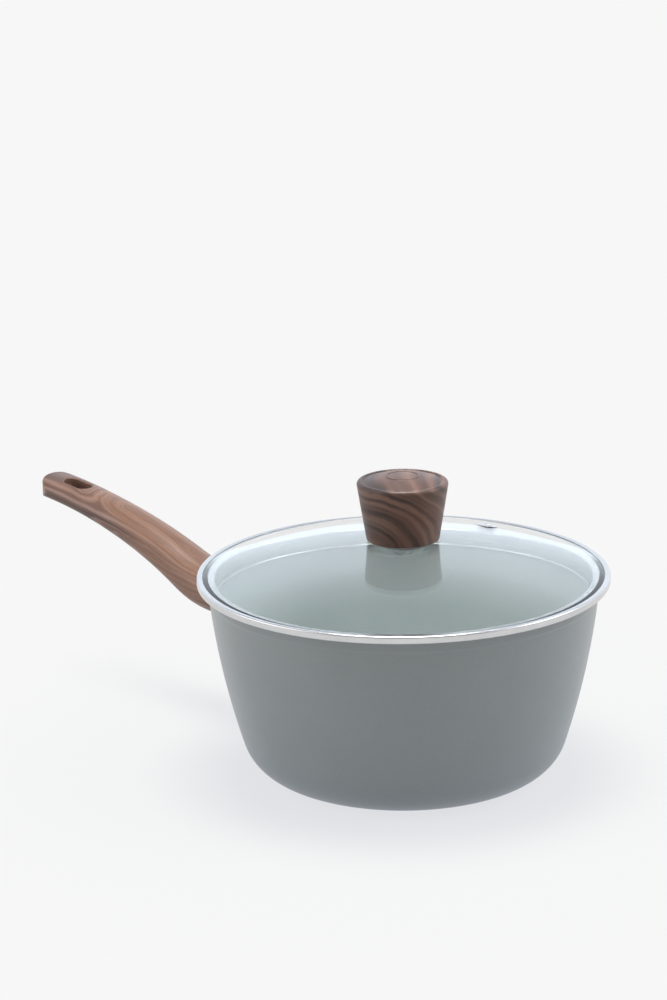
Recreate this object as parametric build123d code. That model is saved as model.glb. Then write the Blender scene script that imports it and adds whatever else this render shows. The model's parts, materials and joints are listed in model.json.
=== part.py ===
from build123d import *
import os
from math import asin, atan2, cos, degrees, pi, sin, sqrt

os.makedirs("parts", exist_ok=True)

# Saucepan with a domed glass lid. Millimetres, +Z up.
# The origin is the centre of the underside; the handle points along -X.

# ---- pan ----
RIM_RADIUS = 97.5           # outside of the wall at the very top
PAN_HEIGHT = 97.7           # table to the top of the rim
SHEET = 2.6                 # thickness of the pressed wall and base
BASE_FLAT_RADIUS = 58.7     # flat part of the underside
CORNER_RADIUS = 23.3        # outside curve between base and wall
WALL_BULGE_RADIUS = 395.0   # the wall is a gentle arc, fuller at the bottom
RIM_BAND_HEIGHT = 6.0       # plain band round the top of the wall
RIM_BAND_STEP = 0.4         # how far that band stands out from the wall
RIM_BAND_LEAN = 0.5         # the band opens by this much up to the rim
RIM_BAND_SLOPE = 0.8        # height of the sloping step under the band
SEAT_DEPTH = 7.4            # the inside is opened out this far down for the lid
SEAT_OPENING = 0.9          # by this much, so the lid's skirt drops in
LIP_ROUND = 0.7             # rounding of the rim's two edges

# ---- induction disc ----
DISC_MARGIN = 6.7           # from the disc's edge to the edge of the flat underside
DISC_THICKNESS = 0.6
DISC_HOLE_RADIUS = 1.9
DISC_FIRST_RING = 12.0      # radius of the innermost ring of holes
DISC_RING_PITCH = 10.0      # from one ring of holes to the next
DISC_HOLE_PITCH = 9.8       # from hole to hole along a ring
DISC_EDGE = 4.0             # plain steel outside the last ring's holes

# ---- handle ----
HANDLE_REACH = 173.0        # from the wall's top edge to the handle's far end
HEEL_REACH = 45.0           # the heel, where handle and tang meet, stays this long
HEEL_SCREW_STATION = 2      # the heel section nearest the screw
GRIP_WALL_GAP = 0.4         # the grip stays this far off the coated wall
GRIP_CROWN_POWER = 2.2      # the section's upper half: 2 is an ellipse, more is squarer
GRIP_UNDER_POWER = 2.7      # its lower half
GRIP_WIDEST = 0.45          # height of the widest line, as a share of the thickness
GRIP_SECTION_POINTS = 24
SLOT_LENGTH = 19.0
SLOT_WIDTH = 9.4
SLOT_END_WALL = 13.8        # from the slot to the handle's far end
SLOT_EDGE_ROUND = 0.9
TIP_ROUND = 3.0             # rounding of the tip's upper edge
TANG_WIDTH = 15.0
TANG_THICKNESS = 9.0
TANG_LENGTH = 30.0          # beyond the wall
TANG_BELOW_RIM = 34.0       # rim to the middle of the tang
TANG_CLEARANCE = 0.25
WELD_FOOT_HEIGHT = 13.0
WELD_FOOT_WIDTH = 21.0
WELD_FOOT_DEPTH = 3.0
SCREW_OFFSET = 18.0         # handle screw, beyond the wall
HANDLE_SCREW_RADIUS = 2.5
HANDLE_HEAD_RADIUS = 4.5
HANDLE_HEAD_HEIGHT = 3.0
HANDLE_HEAD_SINK = 1.5      # the head sits this far inside the heel
HANDLE_HOLE_CLEARANCE = 0.4  # screw and head to the moulding round them
HANDLE_WASHER_THICKNESS = 1.2
WASHER_SPLIT = 0.6          # width of the cut in the spring washer
THREAD_CLEARANCE = 0.05
PASSING_CLEARANCE = 0.1     # screw to the washers and pads that it passes through
RECESS_DEPTH = 1.5          # cross recess in a screw head

# ---- lid ----
LID_GAP = 0.2               # band to rim
BAND_OVERHANG = 5.0         # how far the band stands out past the rim
BAND_STEEL = 0.45
BAND_HEIGHT = 3.85          # over both lips
BAND_LIP = 2.9              # how far the top lip reaches in over the glass
GLASS_BED = 0.1             # bedding of sealant between the glass's edge and the channel
SKIRT_CLEARANCE = 1.8       # skirt to the inside of the rim, all round
SKIRT_DROP = 9.4            # below the band
SKIRT_HEM = 0.9             # rolled edge at the skirt's foot
DOME_RISE = 16.5            # glass at the knob above the band's top
GLASS_THICKNESS = 3.8
KNOB_HOLE_RADIUS = 3.6
VENT_INSET = 40.0           # vent from the lid's edge, towards +Y
VENT_HOLE_RADIUS = 3.4
VENT_FLANGE_RADIUS = 4.9
VENT_BORE_RADIUS = 2.3
VENT_STEEL = 0.6

# ---- knob ----
KNOB_TOP_RADIUS = 22.9
KNOB_FOOT_RADIUS = 18.1
KNOB_HEIGHT = 29.8          # foot to the rim round its top
KNOB_RIM = 2.9              # width of that rim
KNOB_GROOVE = 0.5           # depth of the groove just inside the rim
KNOB_CROWN = 2.7            # the middle of the top swells this far above the rim
KNOB_RING_RADIUS = 8.2      # plain embossed ring on the crown
KNOB_RING_WIDTH = 0.8
KNOB_RING_HEIGHT = 0.35
KNOB_EDGE_ROUND = 1.8
GASKET_THICKNESS = 0.8      # at the middle, between glass and knob
GASKET_RADIUS = 15.5
UNDER_GASKET_RADIUS = 10.5
UNDER_GASKET_THICKNESS = 1.2
KNOB_WASHER_RADIUS = 9.5
KNOB_WASHER_THICKNESS = 1.0
KNOB_SCREW_RADIUS = 2.5
KNOB_HEAD_RADIUS = 5.0
KNOB_HEAD_HEIGHT = 3.2
INSERT_RADIUS = 4.5
INSERT_LENGTH = 14.0
INSERT_SINK = 1.0           # the bush starts this far inside the knob's foot
SCREW_ENGAGEMENT = 10.0     # length of screw inside the bush

NEAR = 0.01                 # two sizes within this are the same

# Worked out from the sizes above.
BAND_FOOT_Z = PAN_HEIGHT - RIM_BAND_HEIGHT
SEAT_Z = PAN_HEIGHT - SEAT_DEPTH
DISC_RADIUS = BASE_FLAT_RADIUS - DISC_MARGIN
BAND_RADIUS = RIM_RADIUS + BAND_OVERHANG
LID_BASE_Z = PAN_HEIGHT + LID_GAP
BAND_TOP_Z = LID_BASE_Z + BAND_HEIGHT
CHANNEL_LOW_Z = LID_BASE_Z + BAND_STEEL
CHANNEL_HIGH_Z = BAND_TOP_Z - BAND_STEEL
CHANNEL_RADIUS = BAND_RADIUS - BAND_STEEL
GLASS_RIM_LOW_Z = CHANNEL_LOW_Z + GLASS_BED
GLASS_RIM_HIGH_Z = CHANNEL_HIGH_Z - GLASS_BED
GLASS_RADIUS = CHANNEL_RADIUS - GLASS_BED
GLASS_TOP_Z = BAND_TOP_Z + DOME_RISE
DOME_EDGE_RADIUS = BAND_RADIUS - BAND_LIP
DOME_SAGITTA = GLASS_TOP_Z - GLASS_RIM_HIGH_Z
DOME_RADIUS = (DOME_EDGE_RADIUS**2 + DOME_SAGITTA**2) / (2 * DOME_SAGITTA)
DOME_CENTRE_Z = GLASS_TOP_Z - DOME_RADIUS
VENT_DISTANCE = BAND_RADIUS - VENT_INSET
KNOB_FOOT_Z = GLASS_TOP_Z + GASKET_THICKNESS
UNDER_GLASS_RADIUS = DOME_RADIUS - GLASS_THICKNESS
WASHER_TOP_Z = DOME_CENTRE_Z + UNDER_GLASS_RADIUS - UNDER_GASKET_THICKNESS
WASHER_LOW_Z = WASHER_TOP_Z - KNOB_WASHER_THICKNESS
INSERT_LOW_Z = KNOB_FOOT_Z + INSERT_SINK
TANG_Z = PAN_HEIGHT - TANG_BELOW_RIM
HANDLE_END = RIM_RADIUS + HANDLE_REACH
SCREW_X = -(RIM_RADIUS + SCREW_OFFSET)


def turned(points_and_arcs):
    """Revolve a closed outline in the XZ plane (radius, height) round the Z axis."""
    outline = Wire(points_and_arcs)
    return revolve(Face(outline), Axis.Z)


def line(*corners):
    """Straight runs through (radius, height) corners in the XZ plane."""
    return [Edge.make_line((a[0], 0, a[1]), (b[0], 0, b[1])) for a, b in zip(corners, corners[1:])]


def arc(start, end, centre, radius):
    """Arc from start to end about centre, through the point midway in angle."""
    first = atan2(start[1] - centre[1], start[0] - centre[0])
    last = atan2(end[1] - centre[1], end[0] - centre[0])
    middle = (first + last) / 2
    through = (centre[0] + radius * cos(middle), centre[1] + radius * sin(middle))
    places = [(x, 0, z) for x, z in (start, through, end)]
    return [Edge.make_three_point_arc(*places)]


def ring(outer, inner, low, high):
    """Upright tube; inner = 0 gives a solid cylinder."""
    body = Pos(0, 0, (low + high) / 2) * Cylinder(outer, high - low)
    if inner > 0:
        body -= Pos(0, 0, (low + high) / 2) * Cylinder(inner, high - low + 2)
    return body


def dome_height(radius, sphere):
    """Height of a sphere about the lid's dome centre, at this distance from the axis."""
    return DOME_CENTRE_Z + sqrt(sphere**2 - radius**2)


def wall_arc_centre():
    """Centre of the wall's arc: tangent to the corner arc and through the foot of the rim band."""
    foot = (RIM_RADIUS - RIM_BAND_LEAN - RIM_BAND_STEP, BAND_FOOT_Z)
    corner = (BASE_FLAT_RADIUS, CORNER_RADIUS)
    to_corner = WALL_BULGE_RADIUS - CORNER_RADIUS
    gap_x, gap_z = corner[0] - foot[0], corner[1] - foot[1]
    gap = sqrt(gap_x**2 + gap_z**2)
    along = (gap**2 + WALL_BULGE_RADIUS**2 - to_corner**2) / (2 * gap)
    across = sqrt(WALL_BULGE_RADIUS**2 - along**2)
    middle = (foot[0] + along * gap_x / gap, foot[1] + along * gap_z / gap)
    return (middle[0] + across * gap_z / gap, middle[1] - across * gap_x / gap)


def wall_profile(inset):
    """Underside, corner and wall as tangent runs, all moved inwards by inset (negative is outwards)."""
    centre = wall_arc_centre()
    corner = (BASE_FLAT_RADIUS, CORNER_RADIUS)
    reach = sqrt((corner[0] - centre[0]) ** 2 + (corner[1] - centre[1]) ** 2)
    unit = ((corner[0] - centre[0]) / reach, (corner[1] - centre[1]) / reach)
    bend = CORNER_RADIUS - inset
    bulge = WALL_BULGE_RADIUS - inset
    under = (BASE_FLAT_RADIUS, inset)
    join = (corner[0] + bend * unit[0], corner[1] + bend * unit[1])
    top = (wall_radius_at(BAND_FOOT_Z, inset), BAND_FOOT_Z)
    return centre, under, join, top, bend, bulge


def pan_outside(inset):
    """The pan's outer form without its hollow, with every face moved inwards by inset."""
    centre, under, join, top, bend, bulge = wall_profile(inset)
    band_low = (RIM_RADIUS - RIM_BAND_LEAN - inset, BAND_FOOT_Z + RIM_BAND_SLOPE)
    rim = (RIM_RADIUS - inset, PAN_HEIGHT)
    runs = line((0, inset), under) + arc(under, join, (BASE_FLAT_RADIUS, CORNER_RADIUS), bend)
    runs += arc(join, top, centre, bulge)
    runs += line(top, band_low, rim, (0, PAN_HEIGHT), (0, inset))
    return turned(runs)


def wall_radius_at(height, inset):
    """Radius of the wall's arc at a height, on the face that lies this far in from the outside."""
    centre = wall_arc_centre()
    return centre[0] + sqrt((WALL_BULGE_RADIUS - inset) ** 2 - (height - centre[1]) ** 2)


def mouth_radius():
    """Inside radius of the opened-out seat under the rim."""
    return wall_radius_at(SEAT_Z, SHEET) + SEAT_OPENING


def pan_hollow():
    """The space inside the pan, opened out at the top for the lid's skirt."""
    centre, under, join, top, bend, bulge = wall_profile(SHEET)
    seat = (wall_radius_at(SEAT_Z, SHEET), SEAT_Z)
    opened = (mouth_radius(), SEAT_Z + SEAT_OPENING)
    mouth = (mouth_radius(), PAN_HEIGHT + 1)
    runs = line((0, SHEET), under) + arc(under, join, (BASE_FLAT_RADIUS, CORNER_RADIUS), bend)
    runs += arc(join, seat, centre, bulge)
    runs += line(seat, opened, mouth, (0, PAN_HEIGHT + 1), (0, SHEET))
    return turned(runs)


def make_pan_shell():
    """Pressed vessel: outer form less the hollow and less the seat for the induction disc."""
    shell = pan_outside(0) - pan_hollow()
    lips = shell.edges().filter_by_position(Axis.Z, PAN_HEIGHT - 0.01, PAN_HEIGHT + 0.01)
    shell = fillet(lips, LIP_ROUND)
    return shell - ring(DISC_RADIUS, 0, -1, DISC_THICKNESS)


def make_induction_base():
    """Flush steel disc with rings of holes that the aluminium grips when pressed."""
    disc = ring(DISC_RADIUS, 0, 0, DISC_THICKNESS)
    hole = Cylinder(DISC_HOLE_RADIUS, 4 * DISC_THICKNESS)
    radius = DISC_FIRST_RING
    holes = []
    while radius + DISC_HOLE_RADIUS + DISC_EDGE <= DISC_RADIUS:
        count = round(2 * pi * radius / DISC_HOLE_PITCH)
        holes += [place * hole for place in PolarLocations(radius, count)]
        radius += DISC_RING_PITCH
    return disc - holes


def grip_stations():
    """Handle sections from pan to tip: (distance from axis, top, underside, half width).

    The heel's places are distances past the rim's edge. The neck's are shares of the way from heel to tip.
    Heights hang from the rim. The heel's own heights keep off the tang's upper face and off the screw's head.
    """
    tang_top = TANG_THICKNESS / 2 - TANG_BELOW_RIM
    under = HANDLE_WASHER_THICKNESS + HANDLE_HEAD_HEIGHT + HANDLE_HEAD_SINK
    floor = -TANG_BELOW_RIM - TANG_THICKNESS / 2 - under
    heel = (
        (-16.0, tang_top + 4.0, floor - 0.1, 17.0),
        (-3.0, tang_top + 4.2, floor - 0.1, 17.0),
        (10.0, tang_top + 4.7, floor, 17.0),
        (30.0, tang_top + 6.7, floor + 0.5, 16.2),
        (45.0, tang_top + 9.5, floor + 2.0, 15.0),
    )
    neck = (
        (0.135, -14.6, -35.6, 13.8),
        (0.315, -7.2, -25.6, 12.6),
        (0.525, -1.2, -16.6, 12.1),
        (0.760, 3.4, -9.4, 12.4),
        (0.915, 5.3, -6.4, 12.9),
        (1.040, 6.2, -4.9, 12.9),
    )
    neck_length = HANDLE_REACH - HEEL_REACH
    places = list(heel) + [(HEEL_REACH + share * neck_length, *rest) for share, *rest in neck]
    return [(RIM_RADIUS + past, PAN_HEIGHT + top, PAN_HEIGHT + low, half) for past, top, low, half in places]


def grip_section(distance, top, under, half_width):
    """One cross-section: a rounded crown over a flatter, fuller underside."""
    middle = under + GRIP_WIDEST * (top - under)
    points = []
    for step in range(GRIP_SECTION_POINTS):
        angle = 2 * pi * step / GRIP_SECTION_POINTS
        power = GRIP_CROWN_POWER if sin(angle) >= 0 else GRIP_UNDER_POWER
        height = top - middle if sin(angle) >= 0 else middle - under
        across = half_width * abs(cos(angle)) ** (2 / power) * (1 if cos(angle) >= 0 else -1)
        up = height * abs(sin(angle)) ** (2 / power) * (1 if sin(angle) >= 0 else -1)
        points.append((-distance, across, middle + up))
    return Wire([Edge.make_spline([Vector(*p) for p in points], periodic=True)])


def grip_form():
    """The handle's full form, rounded in plan at its tip, before the pan and sockets are cut from it."""
    stations = grip_stations()
    form = Solid.make_loft([grip_section(*station) for station in stations])
    _, top, _, tip = stations[-1]
    length = HANDLE_END - tip
    end = ring(tip, 0, 0, top)
    end = fillet(circles_of(end, tip).sort_by(Axis.Z)[-1], TIP_ROUND)
    blank = Pos(-length / 2, 0, top / 2) * Box(length, 4 * tip, top)
    return form & (blank + Pos(-length, 0, 0) * end)


def hanging_slot():
    """Round-ended through slot near the handle's tip."""
    centre = HANDLE_END - SLOT_END_WALL - SLOT_LENGTH / 2
    outline = Pos(-centre, 0) * SlotOverall(SLOT_LENGTH, SLOT_WIDTH)
    return extrude(outline, 2 * PAN_HEIGHT)


def slot_rims(grip):
    """The slot's edges on the grip's upper and lower faces."""
    centre = SLOT_END_WALL + SLOT_LENGTH / 2 - HANDLE_END
    reach, side = SLOT_LENGTH / 2 + NEAR, SLOT_WIDTH / 2 + NEAR

    def on_rim(edge):
        ends = edge.vertices()
        inside = all(abs(end.X - centre) < reach and abs(end.Y) < side for end in ends)
        return inside and abs(ends[0].Z - ends[-1].Z) < SLOT_WIDTH / 2

    return grip.edges().filter_by(on_rim)


def tang_block(clearance):
    """The bracket's straight tang, grown by a clearance for its socket."""
    inner = RIM_RADIUS - 20.0
    outer = RIM_RADIUS + TANG_LENGTH + clearance
    block = Box(outer - inner, TANG_WIDTH + 2 * clearance, TANG_THICKNESS + 2 * clearance)
    return Pos(-(inner + outer) / 2, 0, TANG_Z) * block


def weld_foot(clearance):
    """The wider foot where the bracket is welded to the wall, grown by a clearance."""
    wall = wall_radius_at(TANG_Z, 0)
    outer = wall + WELD_FOOT_DEPTH + clearance
    inner = wall - 15.0
    block = Box(outer - inner, WELD_FOOT_WIDTH + 2 * clearance, WELD_FOOT_HEIGHT + 2 * clearance)
    return Pos(-(inner + outer) / 2, 0, TANG_Z) * block


def heel_z():
    """Underside of the handle where its screw enters."""
    stations = grip_stations()
    return stations[HEEL_SCREW_STATION][2]


def handle_screw_levels():
    """Screw head's lower face, washer's lower face and washer's upper face."""
    head_low = heel_z() + HANDLE_HEAD_SINK
    washer_low = head_low + HANDLE_HEAD_HEIGHT
    return head_low, washer_low, washer_low + HANDLE_WASHER_THICKNESS


def make_handle_bracket():
    """Tang and weld foot, cut to the wall, with the screw's threaded hole."""
    bracket = tang_block(0) + weld_foot(0)
    bracket -= pan_outside(0)
    thread = HANDLE_SCREW_RADIUS + THREAD_CLEARANCE
    return bracket - Pos(SCREW_X, 0, TANG_Z) * Cylinder(thread, 2 * TANG_THICKNESS)


def make_handle_grip():
    """Moulded grip with its socket, weld-foot recess, counterbored screw hole and hanging slot."""
    washer_high = handle_screw_levels()[2]
    grip = grip_form() - pan_outside(-GRIP_WALL_GAP)
    grip -= tang_block(TANG_CLEARANCE)
    grip -= weld_foot(TANG_CLEARANCE)
    grip -= Pos(SCREW_X, 0, 0) * ring(HANDLE_HEAD_RADIUS + HANDLE_HOLE_CLEARANCE, 0, 0, washer_high)
    grip -= Pos(SCREW_X, 0, 0) * ring(HANDLE_SCREW_RADIUS + HANDLE_HOLE_CLEARANCE, 0, 0, TANG_Z)
    grip -= hanging_slot()
    return fillet(slot_rims(grip), SLOT_EDGE_ROUND)


def make_handle_screw():
    """Cross-recessed screw from below."""
    head_low, washer_low, _ = handle_screw_levels()
    screw = ring(HANDLE_HEAD_RADIUS, 0, head_low, washer_low)
    screw += ring(HANDLE_SCREW_RADIUS, 0, washer_low, TANG_Z + TANG_THICKNESS / 2)
    return Pos(SCREW_X, 0, 0) * (screw - cross_recess(head_low, HANDLE_HEAD_RADIUS))


def make_handle_spring_washer():
    """Split washer under the head, with its cut."""
    _, washer_low, washer_high = handle_screw_levels()
    washer = ring(HANDLE_HEAD_RADIUS, HANDLE_SCREW_RADIUS + PASSING_CLEARANCE, washer_low, washer_high)
    slit = Box(2 * HANDLE_HEAD_RADIUS, WASHER_SPLIT, 4 * HANDLE_WASHER_THICKNESS)
    cut = Pos(HANDLE_HEAD_RADIUS, 0, washer_low) * slit
    return Pos(SCREW_X, 0, 0) * (washer - cut)


def cross_recess(low, head_radius):
    """Cross slot in the lower face of a screw head."""
    arm = Box(1.2 * head_radius, 0.24 * head_radius, 2 * RECESS_DEPTH)
    return Pos(0, 0, low) * (arm + Rot(0, 0, 90) * arm)


def make_lid_glass():
    """Domed glass with a flat-ground edge, its knob hole and its vent hole."""
    top_join = sqrt(DOME_RADIUS**2 - (GLASS_RIM_HIGH_Z - DOME_CENTRE_Z) ** 2)
    low_join = sqrt(UNDER_GLASS_RADIUS**2 - (GLASS_RIM_LOW_Z - DOME_CENTRE_Z) ** 2)
    centre = (0, DOME_CENTRE_Z)
    crown = (0, GLASS_TOP_Z)
    hollow = (0, DOME_CENTRE_Z + UNDER_GLASS_RADIUS)
    top_edge = (top_join, GLASS_RIM_HIGH_Z)
    low_edge = (low_join, GLASS_RIM_LOW_Z)
    runs = arc(crown, top_edge, centre, DOME_RADIUS)
    runs += line(top_edge, (GLASS_RADIUS, GLASS_RIM_HIGH_Z), (GLASS_RADIUS, GLASS_RIM_LOW_Z), low_edge)
    runs += arc(low_edge, hollow, centre, UNDER_GLASS_RADIUS)
    runs += line(hollow, crown)
    glass = turned(runs) - ring(KNOB_HOLE_RADIUS, 0, 0, 2 * GLASS_TOP_Z)
    return glass - vent_place() * Cylinder(VENT_HOLE_RADIUS, 30)


def make_lid_rim_band():
    """Steel band: a channel round the glass's edge, a ledge that rests on the rim, and the skirt."""
    lip_inner = BAND_RADIUS - BAND_LIP
    skirt_outer = mouth_radius() - SKIRT_CLEARANCE
    skirt_inner = skirt_outer - BAND_STEEL
    skirt_low = LID_BASE_Z - SKIRT_DROP
    runs = line(
        (skirt_outer, LID_BASE_Z),
        (BAND_RADIUS, LID_BASE_Z),
        (BAND_RADIUS, BAND_TOP_Z),
        (lip_inner, BAND_TOP_Z),
        (lip_inner, CHANNEL_HIGH_Z),
        (CHANNEL_RADIUS, CHANNEL_HIGH_Z),
        (CHANNEL_RADIUS, CHANNEL_LOW_Z),
        (skirt_inner, CHANNEL_LOW_Z),
        (skirt_inner, skirt_low + SKIRT_HEM),
        (skirt_inner - SKIRT_HEM / 2, skirt_low + SKIRT_HEM / 2),
        (skirt_inner, skirt_low),
        (skirt_outer, skirt_low),
        (skirt_outer, LID_BASE_Z),
    )
    band = turned(runs)
    return fillet(circles_of(band, BAND_RADIUS), 0.9 * BAND_STEEL)


def circles_of(shape, radius):
    """The shape's circular edges of this radius."""
    circles = shape.edges().filter_by(GeomType.CIRCLE)
    return circles.filter_by(lambda edge: abs(edge.radius - radius) < NEAR)


def vent_place():
    """Frame on the glass's upper face at the vent, square to the dome."""
    lean = degrees(asin(VENT_DISTANCE / DOME_RADIUS))
    return Pos(0, VENT_DISTANCE, dome_height(VENT_DISTANCE, DOME_RADIUS)) * Rot(-lean, 0, 0)


def make_vent_eyelet():
    """Flanged tube through the glass, rolled out under it."""
    foot = -GLASS_THICKNESS - 2 * VENT_STEEL
    barrel = VENT_HOLE_RADIUS - 0.3
    eyelet = ring(VENT_FLANGE_RADIUS, 0, 0.15, 0.15 + VENT_STEEL) + ring(barrel, 0, foot, 0.3)
    eyelet += ring(barrel + 0.9, 0, foot - VENT_STEEL, foot)
    return vent_place() * (eyelet - ring(VENT_BORE_RADIUS, 0, foot - 5, 5))


def make_vent_washer():
    """Flat ring between the glass and the eyelet's rolled end."""
    washer_top = -GLASS_THICKNESS - 0.15
    washer = ring(VENT_FLANGE_RADIUS, VENT_HOLE_RADIUS - 0.2, -GLASS_THICKNESS - 2 * VENT_STEEL, washer_top)
    return vent_place() * washer


def make_knob():
    """Upside-down cone with a raised rim, a crowned top with a plain ring on it, and a bore for the bush."""
    top = KNOB_FOOT_Z + KNOB_HEIGHT
    groove = (KNOB_TOP_RADIUS - KNOB_RIM - KNOB_GROOVE, top - KNOB_GROOVE)
    swell = KNOB_CROWN + KNOB_GROOVE
    crown_radius = (groove[0] ** 2 + swell**2) / (2 * swell)
    crown_centre = (0, top + KNOB_CROWN - crown_radius)
    rim = (KNOB_TOP_RADIUS - KNOB_RIM, top)
    foot = (0, KNOB_FOOT_Z)
    apex = (0, top + KNOB_CROWN)
    runs = line(apex, foot, (KNOB_FOOT_RADIUS, KNOB_FOOT_Z), (KNOB_TOP_RADIUS, top), rim, groove)
    knob = turned(runs + arc(groove, apex, crown_centre, crown_radius))
    knob = fillet(circles_of(knob, KNOB_TOP_RADIUS), KNOB_EDGE_ROUND)
    ring_foot = crown_centre[1] + sqrt(crown_radius**2 - KNOB_RING_RADIUS**2)
    ring_inner = KNOB_RING_RADIUS - KNOB_RING_WIDTH
    knob += ring(KNOB_RING_RADIUS, ring_inner, ring_foot - 1, ring_foot + KNOB_RING_HEIGHT)
    knob -= ring(INSERT_RADIUS, 0, INSERT_LOW_Z, INSERT_LOW_Z + INSERT_LENGTH)
    return knob - ring(KNOB_SCREW_RADIUS + PASSING_CLEARANCE, 0, KNOB_FOOT_Z - 1, INSERT_LOW_Z + 1)


def make_knob_insert():
    """Threaded bush, its outside grooved so that the moulding holds it."""
    thread = KNOB_SCREW_RADIUS + THREAD_CLEARANCE
    bush = ring(INSERT_RADIUS, thread, INSERT_LOW_Z, INSERT_LOW_Z + INSERT_LENGTH)
    middle = INSERT_LOW_Z + INSERT_LENGTH / 2
    return bush - ring(INSERT_RADIUS + 1, INSERT_RADIUS - 0.5, middle - 1, middle + 1)


def make_knob_gasket():
    """Soft pad: flat on top for the knob, hollowed underneath to the dome."""
    blank = ring(GASKET_RADIUS, KNOB_SCREW_RADIUS + PASSING_CLEARANCE, GLASS_TOP_Z - 3, KNOB_FOOT_Z)
    return blank - Pos(0, 0, DOME_CENTRE_Z) * Sphere(DOME_RADIUS)


def make_knob_under_gasket():
    """Soft pad under the glass: domed on top, flat underneath, with a collar in the glass's hole."""
    blank = ring(UNDER_GASKET_RADIUS, 0, WASHER_TOP_Z, GLASS_TOP_Z)
    pad = blank & (Pos(0, 0, DOME_CENTRE_Z) * Sphere(UNDER_GLASS_RADIUS))
    pad += ring(KNOB_HOLE_RADIUS - PASSING_CLEARANCE, 0, WASHER_TOP_Z, GLASS_TOP_Z - 0.5)
    return pad - ring(KNOB_SCREW_RADIUS + PASSING_CLEARANCE, 0, 0, 2 * GLASS_TOP_Z)


def make_knob_washer():
    """Flat steel washer under the pad."""
    return ring(KNOB_WASHER_RADIUS, KNOB_SCREW_RADIUS + PASSING_CLEARANCE, WASHER_LOW_Z, WASHER_TOP_Z)


def make_knob_screw():
    """Cross-recessed pan-head screw from under the lid into the knob's bush."""
    head_low = WASHER_LOW_Z - KNOB_HEAD_HEIGHT
    screw = ring(KNOB_HEAD_RADIUS, 0, head_low, WASHER_LOW_Z)
    rim = screw.edges().filter_by_position(Axis.Z, head_low - 0.01, head_low + 0.01)
    screw = fillet(rim, 0.4 * KNOB_HEAD_HEIGHT)
    screw += ring(KNOB_SCREW_RADIUS, 0, WASHER_LOW_Z, INSERT_LOW_Z + SCREW_ENGAGEMENT)
    return screw - cross_recess(head_low, KNOB_HEAD_RADIUS)


PIECES = {
    "pan_shell": make_pan_shell,
    "induction_base": make_induction_base,
    "handle_bracket": make_handle_bracket,
    "handle_grip": make_handle_grip,
    "handle_screw": make_handle_screw,
    "handle_spring_washer": make_handle_spring_washer,
    "lid_glass": make_lid_glass,
    "lid_rim_band": make_lid_rim_band,
    "vent_eyelet": make_vent_eyelet,
    "vent_washer": make_vent_washer,
    "knob": make_knob,
    "knob_insert": make_knob_insert,
    "knob_gasket": make_knob_gasket,
    "knob_under_gasket": make_knob_under_gasket,
    "knob_washer": make_knob_washer,
    "knob_screw": make_knob_screw,
}

for name, make in PIECES.items():
    export_step(make(), f"parts/{name}.step")
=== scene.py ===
"""Looks of a coated saucepan with a wood-look handle and a domed glass lid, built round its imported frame.

Sizes in the classes are millimetres. Meshes are in metres, in the frame's own axes: the pan stands on z = 0
about the Z axis, its handle points along -X and the lid's vent lies towards +Y.
"""

import json
import logging
import math
from dataclasses import dataclass, field
from enum import Enum
from math import radians
from typing import Sequence

import bmesh
import bpy
import numpy as np
from mathutils import Matrix, Vector

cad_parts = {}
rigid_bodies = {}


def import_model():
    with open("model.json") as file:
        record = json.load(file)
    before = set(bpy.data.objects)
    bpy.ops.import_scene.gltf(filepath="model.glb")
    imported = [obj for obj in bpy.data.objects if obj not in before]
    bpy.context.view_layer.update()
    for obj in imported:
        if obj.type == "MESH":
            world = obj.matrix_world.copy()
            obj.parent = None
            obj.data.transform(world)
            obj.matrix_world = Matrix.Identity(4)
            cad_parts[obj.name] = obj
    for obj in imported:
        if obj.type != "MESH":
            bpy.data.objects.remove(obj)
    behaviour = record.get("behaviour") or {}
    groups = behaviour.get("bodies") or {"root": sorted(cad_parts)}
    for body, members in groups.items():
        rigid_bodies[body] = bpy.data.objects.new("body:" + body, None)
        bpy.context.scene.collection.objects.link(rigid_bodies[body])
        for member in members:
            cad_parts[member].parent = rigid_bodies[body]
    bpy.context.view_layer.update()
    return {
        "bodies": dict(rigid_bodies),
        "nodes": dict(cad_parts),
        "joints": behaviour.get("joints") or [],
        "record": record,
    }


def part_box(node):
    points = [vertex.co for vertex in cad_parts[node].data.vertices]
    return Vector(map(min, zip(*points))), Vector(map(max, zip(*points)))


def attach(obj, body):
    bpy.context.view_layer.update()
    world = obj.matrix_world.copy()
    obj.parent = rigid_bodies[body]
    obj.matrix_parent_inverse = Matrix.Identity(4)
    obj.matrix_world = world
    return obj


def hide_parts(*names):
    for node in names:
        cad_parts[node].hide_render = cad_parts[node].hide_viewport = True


LOG = logging.getLogger("saucepan")
MM = 0.001          # one millimetre, in metres
WELD = 1e-7         # points of a mesh closer than this are one; also the least divisor
SAME = 1e-6         # points of an outline closer than this are one
HOLLOW_LIGHT_MASK = "inside"   # point attribute: 1 in the pan's hollow, where the coating paints light in
BED = "bed"         # point attribute: 1 where the glass is bedded in its channel; painted light lightens it there
Array = np.ndarray
Object = bpy.types.Object
Colour = tuple[float, float, float]
Pair = tuple[float, float]
Socket = bpy.types.NodeSocket
Tree = bpy.types.NodeTree
Value = float | Colour | Socket


class Body(Enum):
    """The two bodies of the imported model."""

    PAN = "pan"
    LID = "lid"


class Slot(Enum):
    """The record's material slots."""

    SAGE = "sage_coating"
    STAMPED = "stamped_steel"
    ALUMINIUM = "bare_aluminium"
    GRIP = "wood_look_grip"
    KNOB = "wood_look_knob"
    STEEL = "bright_steel"
    GLASS = "clear_glass"
    SILICONE = "clear_silicone"
    BRASS = "bare_brass"


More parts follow.
